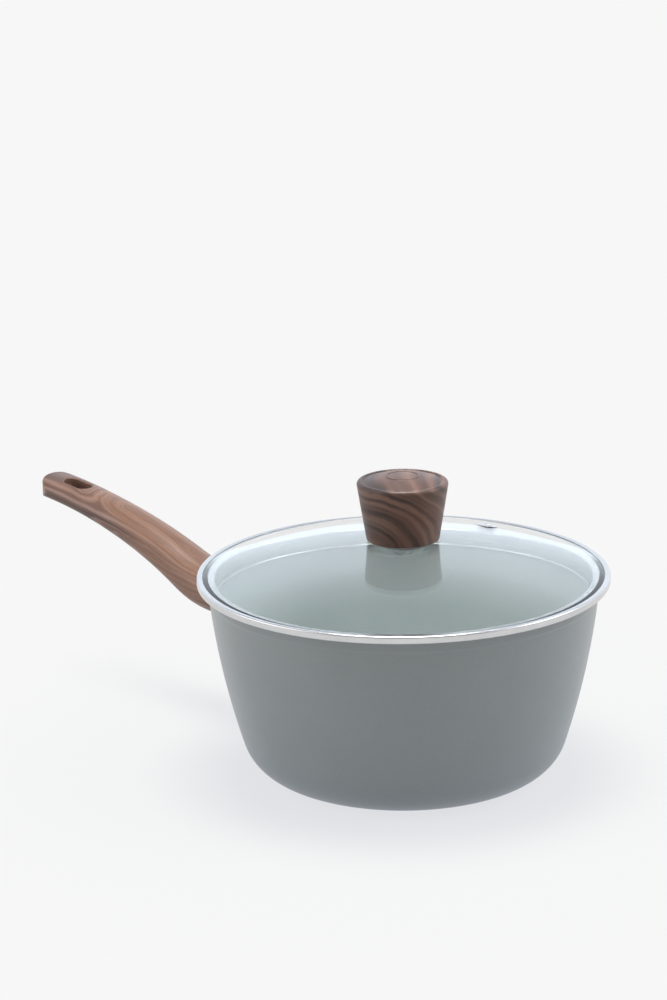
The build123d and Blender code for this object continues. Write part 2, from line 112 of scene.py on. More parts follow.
def arc(centre: Pair, radius: float, first: float, last: float, steps: int) -> Array:
    """Points on a circle, evenly spaced in angle.

    Args:
        centre: Radius and height of the circle's centre.
        radius: The circle's radius.
        first: Angle of the first point, in radians from the outward direction.
        last: Angle of the last point.
        steps: Number of points.

    Returns:
        Array (steps, 2) of radius and height.
    """
    angle = np.linspace(first, last, steps)
    return np.column_stack((centre[0] + radius * np.cos(angle), centre[1] + radius * np.sin(angle)))


def rounded(corners: Array, radii: Array, closed: bool, steps: int = 7,
            shoulder: float = 0.12) -> Array:
    """Round the corners of an outline.

    Each corner P with unit directions a and b to its neighbours becomes an arc swept between its two tangent
    points about P + r / sin(half) * unit(a + b), with a point just before and after that keeps the runs flat.

    Args:
        corners: Array (n, 2).
        radii: Array (n,), 0 where a corner stays as it is.
        closed: True if the last corner runs on to the first.
        steps: Points on each arc.
        shoulder: Distance of the flat-keeping points from the arc.

    Returns:
        Array (m, 2).
    """
    to_last = np.roll(corners, 1, axis=0) - corners
    to_next = np.roll(corners, -1, axis=0) - corners
    reach_a = np.linalg.norm(to_last, axis=1, keepdims=True)
    reach_b = np.linalg.norm(to_next, axis=1, keepdims=True)
    a, b = to_last / np.maximum(reach_a, WELD), to_next / np.maximum(reach_b, WELD)
    opening = np.arccos(np.clip((a * b).sum(axis=1, keepdims=True), -1, 1))
    r = radii[:, None]
    along = r / np.tan(np.maximum(opening / 2, WELD))
    bisector = (a + b) / np.maximum(np.linalg.norm(a + b, axis=1, keepdims=True), WELD)
    centre = corners + bisector * r / np.sin(np.maximum(opening / 2, WELD))
    start, end = corners + a * along - centre, corners + b * along - centre
    sweep = (math.pi - opening)[:, None, :]
    share = np.linspace(0, 1, steps)[None, :, None]
    safe = np.where(np.sin(sweep) < WELD, 1.0, np.sin(sweep))
    bend = (np.sin((1 - share) * sweep) * start[:, None] + np.sin(share * sweep) * end[:, None]) / safe
    before = (corners + a * (along + shoulder))[:, None]
    after = (corners + b * (along + shoulder))[:, None]
    points = np.concatenate((before, centre[:, None] + bend, after), axis=1)
    points = np.where(r[:, :, None] > 0, points, corners[:, None])
    if not closed:
        points[0], points[-1] = corners[0], corners[-1]
    flat = points.reshape(-1, 2)
    moved = np.linalg.norm(np.diff(flat, axis=0), axis=1) > SAME
    return flat[np.concatenate(([True], moved))]


def divided(outline: Array, longest: float) -> Array:
    """Put evenly spaced points on an outline's runs so that none is longer than longest; its corners stay."""
    steps = np.linalg.norm(np.diff(outline, axis=0), axis=1)
    pieces = np.maximum(1, np.ceil(steps / longest)).astype(int)
    run = np.repeat(np.arange(len(pieces)), pieces)
    first = np.repeat(np.cumsum(pieces) - pieces, pieces)
    share = ((np.arange(len(run)) - first) / pieces[run])[:, None]
    points = outline[run] * (1 - share) + outline[run + 1] * share
    return np.vstack((points, outline[-1:]))


def turned(outline: Array, around: int, closed: bool) -> tuple[Array, Array]:
    """Carry an outline of (radius, height) round the Z axis.

    Point (i, j) of the surface is (r_i cos t_j, r_i sin t_j, z_i) with t_j evenly spaced over a full turn.

    Args:
        outline: Array (n, 2).
        around: Number of places round the axis.
        closed: True if the outline's last point joins its first.

    Returns:
        Vertices (n * around, 3) and four-cornered faces.
    """
    angle = np.linspace(0, 2 * math.pi, around, endpoint=False)
    radius, height = outline[:, :1], outline[:, 1:]
    grid = np.stack((radius * np.cos(angle), radius * np.sin(angle), height + 0 * angle), axis=-1)
    rows = len(outline) if closed else len(outline) - 1
    i, j = np.meshgrid(np.arange(rows), np.arange(around), indexing="ij")
    below, right = (i + 1) % len(outline), (j + 1) % around
    i, below = i * around, below * around
    faces = np.stack((i + j, i + right, below + right, below + j), axis=-1)
    return grid.reshape(-1, 3), faces.reshape(-1, 4)


def put(name: str, data: bpy.types.ID) -> Object:
    """Put a new object in the scene."""
    thing = bpy.data.objects.new(name, data)
    bpy.context.scene.collection.objects.link(thing)
    return thing


def placed(name: str, vertices: Array, faces: Array) -> Object:
    """Make one closed, smooth, outward-facing mesh object from points in millimetres.

    Args:
        name: The piece's name.
        vertices: Array (n, 3), in millimetres.
        faces: Array (m, 4) of vertex numbers.

    Returns:
        The new object, at the origin, with its place in its mesh.
    """
    points = vertices * MM
    a, b, c, d = (points[faces[:, k]] for k in range(4))
    volume = (np.cross(a, b) * c).sum() + (np.cross(a, c) * d).sum()
    if volume < 0:
        faces = faces[:, ::-1]
    mesh = bpy.data.meshes.new(name)
    mesh.from_pydata(points.tolist(), [], faces.tolist())
    work = bmesh.new()
    work.from_mesh(mesh)
    bmesh.ops.remove_doubles(work, verts=work.verts, dist=WELD)
    work.to_mesh(mesh)
    work.free()
    mesh.shade_smooth()
    return put(name, mesh)


def places_of(piece: Object) -> tuple[Array, Array]:
    """Distance from the Z axis and height of each of a piece's points, in millimetres."""
    points = np.empty(len(piece.data.vertices) * 3)
    piece.data.vertices.foreach_get("co", points)
    points = points.reshape(-1, 3) / MM
    return np.hypot(points[:, 0], points[:, 1]), points[:, 2]


def mark(piece: Object, name: str, chosen: Array) -> None:
    """Store a point attribute that is 1 on the chosen points and 0 elsewhere."""
    layer = piece.data.attributes.new(name, "FLOAT", "POINT")
    layer.data.foreach_set("value", chosen.astype(np.float32))


class Desk:
    """Places and joins nodes in one node tree."""

    def __init__(self, tree: Tree) -> None:
        """Start on an empty tree."""
        self.tree = tree
        tree.nodes.clear()

    def feed(self, socket: Socket, value: Value) -> None:
        """Join a socket to another, or set it where value is a number or colour."""
        if isinstance(value, Socket):
            self.tree.links.new(value, socket)
        elif isinstance(value, (tuple, list)) and len(value) == 3 and socket.type == "RGBA":
            socket.default_value = (*value, 1.0)
        else:
            socket.default_value = value

    def add(self, kind: str, sockets: dict[str | int, Value] | None = None,
            **settings: object) -> bpy.types.Node:
        """Place a node.

        Args:
            kind: Blender's name of the node, without the ShaderNode prefix.
            sockets: Values or sockets for its inputs, by name or number.
            settings: The node's own properties.

        Returns:
            The node.
        """
        node = self.tree.nodes.new(kind if kind.startswith("Node") else "ShaderNode" + kind)
        for name, value in settings.items():
            setattr(node, name, value)
        for name, value in (sockets or {}).items():
            self.feed(node.inputs[name], value)
        return node

    def sum(self, operation: str, *terms: Value) -> Socket:
        """One Math node on its terms in order."""
        return self.add("Math", dict(enumerate(terms)), operation=operation).outputs[0]

    def vector(self, operation: str, *terms: Value) -> Socket:
        """One Vector Math node; gives its number for LENGTH, else its vector."""
        node = self.add("VectorMath", dict(enumerate(terms)), operation=operation)
        return node.outputs["Value" if operation == "LENGTH" else "Vector"]

    def spread(self, value: Value, low: float, high: float, to_low: float = 0.0,
               to_high: float = 1.0) -> Socket:
        """Map low..high to to_low..to_high, held at both ends."""
        sockets = {"Value": value, "From Min": low, "From Max": high, "To Min": to_low, "To Max": to_high}
        return self.add("MapRange", sockets).outputs[0]

    def noise(self, vector: Value, scale: float, detail: float = 2.0, roughness: float = 0.5) -> Socket:
        """Three-way noise, about 0.3 to 0.7."""
        sockets = {"Vector": vector, "Scale": scale, "Detail": detail, "Roughness": roughness}
        return self.add("TexNoise", sockets).outputs["Fac"]

    def counted(self, place: Value, unit: Value) -> Socket:
        """A place counted in units of a length instead of metres."""
        scale = self.sum("DIVIDE", 1.0, unit)
        return self.add("VectorMath", {0: place, "Scale": scale}, operation="SCALE").outputs[0]

    def grey(self, level: Value) -> Socket:
        """The grey of a level."""
        return self.add("CombineColor", {0: level, 1: level, 2: level}).outputs[0]

    def blend(self, share: Value, first: Value, second: Value, way: str = "MIX") -> Socket:
        """Mix two colours."""
        node = self.add("Mix", {0: share, 6: first, 7: second}, data_type="RGBA", blend_type=way)
        return node.outputs[2]

    def ramp(self, share: Value, stops: Sequence[tuple[float, Colour]]) -> Socket:
        """Colour ramp with two or more stops."""
        node = self.add("ValToRGB", {"Fac": share})
        elements = node.color_ramp.elements
        for place, _ in stops[2:]:
            elements.new(place)
        for element, (place, colour) in zip(elements, stops):
            element.position, element.color = place, (*colour, 1.0)
        return node.outputs[0]

    def object_place(self) -> Socket:
        """The piece's own Object coordinates."""
        return self.add("TexCoord").outputs["Object"]

    def bump(self, height: Value, strength: float, distance: float) -> Socket:
        """Normals raised by a height map; distance is in metres."""
        return self.add("Bump", {"Height": height, "Strength": strength, "Distance": distance}).outputs[0]

    def effect(self, group: Tree, sockets: dict[str, Value]) -> bpy.types.NodeOutputs:
        """Place a shared effect with this material's values; gives its outputs."""
        node = self.tree.nodes.new("ShaderNodeGroup")
        node.node_tree = group
        for name, value in sockets.items():
            self.feed(node.inputs[name], value)
        return node.outputs


class Effects:
    """The effects that more than one finish uses, each built once."""

    VECTORS = ("Place", "Rings", "Fibres")

    def __init__(self) -> None:
        """Build every shared effect."""
        self.speckle = self._speckle()
        self.marks = self._marks()
        self.lathe = self._lathe()
        self.wood = self._wood()

    def _start(self, name: str, inputs: Sequence[str], outputs: Sequence[str]) -> tuple[Desk, dict, dict]:
        """Open a node group.

        Args:
            name: The group's name.
            inputs: Names of its inputs; those in VECTORS are vectors and the rest numbers.
            outputs: Names of its number outputs.

        Returns:
            The desk on its tree, its input sockets and its output sockets by name.
        """
        tree = bpy.data.node_groups.new(name, "ShaderNodeTree")
        for label in inputs:
            kind = "NodeSocketVector" if label in self.VECTORS else "NodeSocketFloat"
            tree.interface.new_socket(label, in_out="INPUT", socket_type=kind)
        for label in outputs:
            tree.interface.new_socket(label, in_out="OUTPUT", socket_type="NodeSocketFloat")
        desk = Desk(tree)
        entry, leave = desk.add("NodeGroupInput"), desk.add("NodeGroupOutput")
        return desk, dict(entry.outputs.items()), dict(leave.inputs.items())

    def _speckle(self) -> Tree:
        """Fine even speckle of a sprayed or moulded skin: noise of a given grain size, stretched to 0..1."""
        desk, into, out = self._start("fine_speckle", ("Place", "Grain"), ("Speckle", "Relief"))
        place = desk.counted(into["Place"], into["Grain"])
        fine = desk.noise(place, 1.0, 2.0, 0.6)
        coarse = desk.noise(place, 0.31, 1.0)
        desk.feed(out["Speckle"], desk.spread(fine, 0.34, 0.66))
        desk.feed(out["Relief"], desk.sum("MULTIPLY_ADD", fine, 0.6, desk.sum("MULTIPLY", coarse, 0.4)))
        return desk.tree

    def _marks(self) -> Tree:
        """Soft cloudy variation with faint wipe marks, as handling and wiping leave; 0 is untouched."""
        desk, into, out = self._start("handling_marks", ("Place", "Size"), ("Cloud", "Wipe"))
        place = desk.counted(into["Place"], into["Size"])
        desk.feed(out["Cloud"], desk.spread(desk.noise(place, 1.0, 3.0), 0.35, 0.65))
        long_place = desk.vector("MULTIPLY", place, (1.2, 1.2, 6.0))
        desk.feed(out["Wipe"], desk.spread(desk.noise(long_place, 2.0, 4.0, 0.6), 0.5, 0.75))
        return desk.tree

    def _lathe(self) -> Tree:
        """Fine lines round the Z axis: noise that changes with radius and height only, about Pitch apart."""
        desk, into, out = self._start("lathe_lines", ("Place", "Pitch"), ("Line", "Fine"))
        flat = desk.vector("MULTIPLY", into["Place"], (1.0, 1.0, 0.0))
        parts = desk.add("SeparateXYZ", {0: into["Place"]})
        sockets = {"X": desk.vector("LENGTH", flat), "Y": parts.outputs["Z"]}
        place = desk.counted(desk.add("CombineXYZ", sockets).outputs[0], into["Pitch"])
        desk.feed(out["Line"], desk.spread(desk.noise(place, 1.0, 3.0, 0.7), 0.32, 0.68))
        desk.feed(out["Fine"], desk.spread(desk.noise(into["Place"], 900.0, 2.0), 0.35, 0.65))
        return desk.tree

    def _wood(self) -> Tree:
        """Wood figure.

        A band's place is the length of Rings plus a slow wander, in units of Pitch. One-way noise and a sharp
        late edge along that number give the bands. Fibres and pores are noise stretched along x of Fibres.
        """
        inputs = ("Rings", "Fibres", "Pitch", "Wander", "Fineness", "Edge")
        desk, into, out = self._start("wood_figure", inputs, ("Band", "Fibre", "Pore", "Drift"))
        slow = desk.vector("MULTIPLY", into["Fibres"], (14.0, 70.0, 70.0))
        sway = desk.sum("SUBTRACT", desk.noise(slow, 1.0, 2.0), 0.5)
        quick = desk.vector("MULTIPLY", into["Fibres"], (60.0, 420.0, 420.0))
        ripple = desk.sum("SUBTRACT", desk.noise(quick, 1.0, 2.0), 0.5)
        wander = desk.sum("MULTIPLY_ADD", ripple, 0.12, sway)
        shift = desk.sum("MULTIPLY", wander, desk.sum("MULTIPLY", into["Wander"], 2.0))
        radius = desk.sum("ADD", desk.vector("LENGTH", into["Rings"]), shift)
        turn = desk.sum("DIVIDE", radius, into["Pitch"])
        sockets = {"W": turn, "Scale": 1.7, "Detail": into["Fineness"], "Roughness": 0.62}
        bands = desk.add("TexNoise", sockets, noise_dimensions="1D").outputs["Fac"]
        late = desk.sum("MULTIPLY", desk.sum("POWER", desk.sum("FRACT", turn), 5.0), into["Edge"])
        band = desk.sum("SUBTRACT", desk.spread(bands, 0.35, 0.66), late)
        desk.feed(out["Band"], desk.sum("MAXIMUM", band, 0.0))
        fibre = desk.vector("MULTIPLY", into["Fibres"], (110.0, 1700.0, 1700.0))
        desk.feed(out["Fibre"], desk.spread(desk.noise(fibre, 1.0, 3.0, 0.6), 0.33, 0.67))
        pore = desk.vector("MULTIPLY", into["Fibres"], (260.0, 3200.0, 3200.0))
        desk.feed(out["Pore"], desk.spread(desk.noise(pore, 1.0, 1.0), 0.62, 0.72))
        desk.feed(out["Drift"], desk.spread(desk.noise(slow, 0.6, 1.0), 0.38, 0.62))
        return desk.tree


def new_material(name: str) -> tuple[bpy.types.Material, Desk]:
    """A material with an empty node tree, and the desk to fill it."""
    material = bpy.data.materials.new(name)
    material.use_nodes = True
    return material, Desk(material.node_tree)


def finished(desk: Desk, shader: Socket) -> None:
    """Join the finished shader to the material's output."""
    desk.add("OutputMaterial", {"Surface": shader})


@dataclass(frozen=True)
class SageCoating:
    """Satin sprayed coating, sage grey-green, with a fine orange-peel skin; its hollow is drawn lighter as
    painted light.

    Attributes:
        dark, light: The two tones that clouds and speckle mix.
        inside: Painted light: how many times lighter the hollow is drawn than the outside, to stand in for
            the light that falls into it.
        grain, roughness: Size of the speckle in metres, and roughness before marks.
    """

    dark: Colour = (0.196, 0.216, 0.214)
    light: Colour = (0.230, 0.252, 0.250)
    inside: float = 1.75
    grain: float = 0.0007
    roughness: float = 0.38

    def shader(self, desk: Desk, effects: Effects) -> Socket:
        """Speckle, slow clouds, painted light in the hollow and the orange peel's relief."""
        place = desk.object_place()
        speckle = desk.effect(effects.speckle, {"Place": place, "Grain": self.grain})
        marks = desk.effect(effects.marks, {"Place": place, "Size": 0.06})
        fine = desk.sum("MULTIPLY", speckle["Speckle"], 0.55)
        share = desk.sum("MULTIPLY_ADD", marks["Cloud"], 0.45, fine)
        colour = desk.blend(share, self.dark, self.light)
        # painted light: the hollow's colour is lifted to stand in for the light that falls into the pan; the
        # coating itself is the same inside and out
        inner = desk.add("Attribute", attribute_name=HOLLOW_LIGHT_MASK).outputs["Fac"]
        painted_hollow_light = desk.spread(inner, 0.0, 1.0, 1.0, self.inside)
        colour = desk.blend(1.0, colour, desk.grey(painted_hollow_light), "MULTIPLY")
        rough = desk.sum("MULTIPLY_ADD", marks["Wipe"], -0.05, self.roughness)
        rough = desk.sum("MULTIPLY_ADD", speckle["Speckle"], 0.05, rough)
        normal = desk.bump(speckle["Relief"], 0.12, 0.00015)
        return desk.add("BsdfPrincipled", {
            "Base Color": colour, "Roughness": rough, "Normal": normal,
            "Coat Weight": 0.4, "Coat Roughness": 0.28}).outputs[0]


@dataclass(frozen=True)
class WoodSkin:
    """Printed walnut-look skin on a moulding, satin, with faint pores.

    Attributes:
        lay: How the figure lies on the piece.
        dark, middle, light: Colours of the bands, from late wood to early wood.
        glow: Warmer colour that drifts in and out.
        pitch, wander: Width of a band and how far it strays, in metres.
        fineness: Octaves of finer lines inside a band.
        edge: Depth of the sharp late edge.
        roughness: Roughness between the pores.
    """

    lay: "GripLay | KnobLay"
    dark: Colour
    middle: Colour
    light: Colour
    glow: Colour
    pitch: float
    wander: float
    fineness: float
    edge: float
    roughness: float = 0.42

    def shader(self, desk: Desk, effects: Effects) -> Socket:
        """Bands, then the warm drift, fibres and pores."""
        x, y, z = desk.add("SeparateXYZ", {0: desk.object_place()}).outputs
        rings, fibres = self.lay.vectors(desk, x, y, z)
        sockets = {
            "Rings": rings, "Fibres": fibres, "Pitch": self.pitch, "Wander": self.wander,
            "Fineness": self.fineness, "Edge": self.edge}
        wood = desk.effect(effects.wood, sockets)
        colour = desk.ramp(wood["Band"], ((0.05, self.dark), (0.42, self.middle), (0.95, self.light)))
        colour = desk.blend(desk.sum("MULTIPLY", wood["Drift"], 0.45), colour, self.glow)
        fleck = desk.spread(wood["Fibre"], 0.0, 1.0, 0.90, 1.08)
        fleck = desk.sum("MULTIPLY_ADD", wood["Pore"], -0.22, fleck)
        colour = desk.blend(1.0, colour, desk.grey(fleck), "MULTIPLY")
        marks = desk.effect(effects.marks, {"Place": desk.object_place(), "Size": 0.03})
        rough = desk.sum("MULTIPLY_ADD", wood["Fibre"], 0.06, self.roughness)
        rough = desk.sum("MULTIPLY_ADD", marks["Wipe"], -0.06, rough)
        height = desk.sum("MULTIPLY_ADD", wood["Pore"], -1.0, wood["Fibre"])
        return desk.add("BsdfPrincipled", {
            "Base Color": colour, "Roughness": rough, "Normal": desk.bump(height, 0.10, 0.0001),
            "Coat Weight": 0.15, "Coat Roughness": 0.35}).outputs[0]


@dataclass(frozen=True)
class GripLay:
    """Figure laid along the handle's bent centre line.

    Attributes:
        centre_line: Distance from the pan's axis and height of the handle's middle, in millimetres.
        heart: Height of the rings' heart above the centre line.
        arch_from, arch_to: Where the bands start and stop closing into arches, towards the tip.
        arch_spread: How fast they close.
        arch_heights: Heights above the centre line between which the closing sets in.
        lean, lean_from: How fast the heart sinks towards the tip, and where it is at its own height.
    """

    centre_line: tuple[Pair, ...] = (
        (88.0, 62.9), (107.5, 63.2), (127.5, 64.5), (142.5, 66.6), (159.8, 72.6), (182.8, 81.3),
        (209.7, 88.8), (239.8, 94.7), (259.6, 97.2), (275.6, 98.4))
    heart: float = 5.0
    arch_from: float = 206.0
    arch_to: float = 236.0
    arch_spread: float = 0.30
    arch_heights: Pair = (2.0, 6.0)
    lean: float = 0.05
    lean_from: float = 180.0

    def vectors(self, desk: Desk, x: Value, y: Value, z: Value) -> tuple[Socket, Socket]:
        """Unbend the handle: height above its middle is z less a quartic fitted to the centre line.

        Args:
            desk: Where the nodes go.
            x, y, z: The point's Object coordinates, in metres.

        Returns:
            The wood figure's Rings and Fibres vectors, in metres.
        """
        along = desk.sum("MULTIPLY", x, -1.0)
        table = np.array(self.centre_line) * MM
        middle: Value = 0.0
        for coefficient in np.polyfit(table[:, 0], table[:, 1], 4):
            middle = desk.sum("MULTIPLY_ADD", middle, along, float(coefficient))
        height = desk.sum("SUBTRACT", z, middle)
        reach = (self.arch_to - self.arch_from) * MM
        past = desk.spread(along, self.arch_from * MM, self.arch_to * MM, 0.0, reach * self.arch_spread)
        low, high = self.arch_heights
        closing = desk.sum("MULTIPLY", past, desk.spread(height, low * MM, high * MM))
        above = desk.sum("SUBTRACT", height, self.heart * MM)
        leaning = desk.sum("MULTIPLY_ADD", desk.sum("SUBTRACT", along, self.lean_from * MM), self.lean, above)
        rings = desk.add("CombineXYZ", {1: y, 2: desk.sum("ADD", leaning, closing)}).outputs[0]
        fibres = desk.add("CombineXYZ", {0: along, 1: y, 2: height}).outputs[0]
        return rings, fibres


@dataclass(frozen=True)
class KnobLay:
    """Figure arched over the knob's sides, about a heart low on one side.

    Attributes:
        facing: Direction, in degrees about Z, that the arches are square to.
        heart: Place of the rings' heart across the knob and its height.
    """

    facing: float = 45.0
    heart: Pair = (-15.4, 114.0)

    def vectors(self, desk: Desk, x: Value, y: Value, z: Value) -> tuple[Socket, Socket]:
        """Rings are circles in the upright plane square to facing; fibres run along them, roughly level."""
        cos, sin = math.cos(radians(self.facing)), math.sin(radians(self.facing))
        across = desk.sum("MULTIPLY_ADD", x, cos, desk.sum("MULTIPLY", y, sin))
        depth = desk.sum("MULTIPLY_ADD", x, -sin, desk.sum("MULTIPLY", y, cos))
        side = desk.sum("SUBTRACT", across, self.heart[0] * MM)
        height = desk.sum("SUBTRACT", z, self.heart[1] * MM)
        rings = desk.add("CombineXYZ", {0: side, 1: desk.sum("MULTIPLY", depth, 0.35), 2: height}).outputs[0]
        fibres = desk.add("CombineXYZ", {0: depth, 1: across, 2: height}).outputs[0]
        return rings, fibres


@dataclass(frozen=True)
class Metal:
    """Bare metal with fine lines round the axis and handling marks.

    Attributes:
        colour: Its reflection.
        roughness: Roughness between the lines.
        pitch: How far the lines are apart, in metres.
        relief: Strength of the lines.
        dulled: How much of its reflection the dullest metal keeps.
        sealant_and_painted_light: Colour of the bedding, where a mesh carries any; pale and not metallic,
            partly real bedding and partly painted light that lightens the shaded channel.
    """

    colour: Colour
    roughness: float
    pitch: float = 0.0002
    relief: float = 0.05
    dulled: float = 0.88
    sealant_and_painted_light: Colour = (0.52, 0.55, 0.60)

    def shader(self, desk: Desk, effects: Effects) -> Socket:
        """Lathe lines, fine grain and marks; the bedding is pale and not metallic, partly as painted light in
        the shaded channel.
        """
        place = desk.object_place()
        lathe = desk.effect(effects.lathe, {"Place": place, "Pitch": self.pitch})
        marks = desk.effect(effects.marks, {"Place": place, "Size": 0.02})
        darker = tuple(self.dulled * part for part in self.colour)
        cloud = desk.sum("MULTIPLY", marks["Cloud"], 0.5)
        share = desk.sum("MULTIPLY_ADD", lathe["Line"], 0.5, cloud)
        rough = desk.sum("MULTIPLY_ADD", lathe["Line"], 0.08, self.roughness)
        rough = desk.sum("MULTIPLY_ADD", marks["Wipe"], 0.05, rough)
        height = desk.sum("MULTIPLY_ADD", lathe["Fine"], 0.3, lathe["Line"])
        # partly painted light: the channel's bedding is drawn pale and not metallic so that the shaded
        # channel looks lit
        bed = desk.add("Attribute", attribute_name=BED).outputs["Fac"]
        colour = desk.blend(bed, desk.blend(share, darker, self.colour), self.sealant_and_painted_light)
        return desk.add("BsdfPrincipled", {
            "Base Color": colour, "Roughness": rough, "Metallic": desk.sum("SUBTRACT", 1.0, bed),
            "Normal": desk.bump(height, self.relief, 0.00005)}).outputs[0]


@dataclass(frozen=True)
class ToughenedGlass:
    """Clear toughened glass, faintly green, with a trace of rolling waviness and wipe marks.

    Attributes:
        colour, shade: Tint of what is seen through it, and of lamp light that has passed.
        index: Its index of refraction.
    """

    colour: Colour = (0.965, 0.985, 0.975)
    shade: Colour = (0.86, 0.89, 0.88)
    index: float = 1.5

    def shader(self, desk: Desk, effects: Effects) -> Socket:
        """Glass; rays from lamps pass straight through it, lightly tinted."""
        place = desk.object_place()
        marks = desk.effect(effects.marks, {"Place": place, "Size": 0.05})
        speckle = desk.effect(effects.speckle, {"Place": place, "Grain": 0.02})
        rough = desk.spread(marks["Wipe"], 0.0, 1.0, 0.0, 0.03)
        glass = desk.add("BsdfPrincipled", {
            "Base Color": self.colour, "Roughness": rough, "IOR": self.index, "Transmission Weight": 1.0,
            "Normal": desk.bump(speckle["Relief"], 0.03, 0.0002)})
        clear = desk.add("BsdfTransparent", {"Color": self.shade})
        lamp = desk.add("LightPath").outputs["Is Shadow Ray"]
        return desk.add("MixShader", {0: lamp, 1: glass.outputs[0], 2: clear.outputs[0]}).outputs[0]


@dataclass(frozen=True)
class ClearSilicone:
    """Milky clear silicone with a fine moulded skin, drawn a darker grey as painted shade where the knob
    meets the glass.

    Attributes:
        colour, dulled: Its lighter tone, darkened as painted shade at the knob's foot, and how much of it the
            darker one keeps.
        clearness, index: Share of light that goes in, and index of refraction.
    """

    # painted shade: a darker grey than milky silicone, for the shade where the knob meets the glass
    colour: Colour = (0.42, 0.43, 0.42)
    dulled: float = 0.9
    clearness: float = 0.35
    index: float = 1.41

    def shader(self, desk: Desk, effects: Effects) -> Socket:
        """Soft, slightly see-through, faintly speckled."""
        place = desk.object_place()
        speckle = desk.effect(effects.speckle, {"Place": place, "Grain": 0.0005})
        darker = tuple(self.dulled * part for part in self.colour)
        rough = desk.spread(speckle["Speckle"], 0.0, 1.0, 0.34, 0.44)
        return desk.add("BsdfPrincipled", {
            "Base Color": desk.blend(speckle["Speckle"], darker, self.colour), "Roughness": rough,
            "Transmission Weight": self.clearness, "IOR": self.index,
            "Normal": desk.bump(speckle["Relief"], 0.08, 0.0001)}).outputs[0]


@dataclass
class FinishBook:
    """Every finish of the saucepan, by the record's slot, and the frame that wears them."""

    frame: dict
    effects: Effects = field(default_factory=Effects)
    made: dict[Slot, bpy.types.Material] = field(default_factory=dict)

    def recipes(self) -> dict[Slot, object]:
        """Which finish each slot has."""
        grip = WoodSkin(
            GripLay(), dark=(0.068, 0.033, 0.024), middle=(0.145, 0.076, 0.054),
            light=(0.260, 0.158, 0.118), glow=(0.270, 0.125, 0.060), pitch=0.0026, wander=0.0022,
            fineness=3.0, edge=0.12)
        knob = WoodSkin(
            KnobLay(), dark=(0.032, 0.013, 0.008), middle=(0.082, 0.036, 0.022),
            light=(0.170, 0.086, 0.058), glow=(0.155, 0.061, 0.034), pitch=0.0072, wander=0.0022,
            fineness=1.2, edge=0.0)
        return {
            Slot.SAGE: SageCoating(),
            Slot.GRIP: grip,
            Slot.KNOB: knob,
            Slot.STEEL: Metal((0.68, 0.68, 0.68), 0.20),
            Slot.STAMPED: Metal((0.60, 0.60, 0.59), 0.32, pitch=0.0005, relief=0.15),
            Slot.ALUMINIUM: Metal((0.72, 0.72, 0.73), 0.42, pitch=0.0009, relief=0.10),
            Slot.BRASS: Metal((0.74, 0.55, 0.25), 0.28, pitch=0.0003, relief=0.10),
            Slot.GLASS: ToughenedGlass(),
            Slot.SILICONE: ClearSilicone(),
        }

    def of(self, slot: Slot) -> bpy.types.Material:
        """The material for a slot, made on first use."""
        if slot not in self.made:
            self.made[slot], desk = new_material(slot.value)
            finished(desk, self.recipes()[slot].shader(desk, self.effects))
        return self.made[slot]

    def dress_nodes(self, slot: Slot, *nodes: str) -> None:
        """Give CAD nodes their finish."""
        for node in nodes:
            materials = self.frame["nodes"][node].data.materials
            materials.clear()
            materials.append(self.of(slot))
            LOG.info("node %s wears %s", node, slot.value)

    def dress_piece(self, piece: Object, body: Body, slot: Slot, *stands_for: str) -> None:
        """Give a new piece its finish, its body and the CAD nodes that it stands for."""
        piece.data.materials.append(self.of(slot))
        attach(piece, body.value)
        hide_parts(*stands_for)
        LOG.info("piece %s rides on %s, wears %s", piece.name, body.value, slot.value)


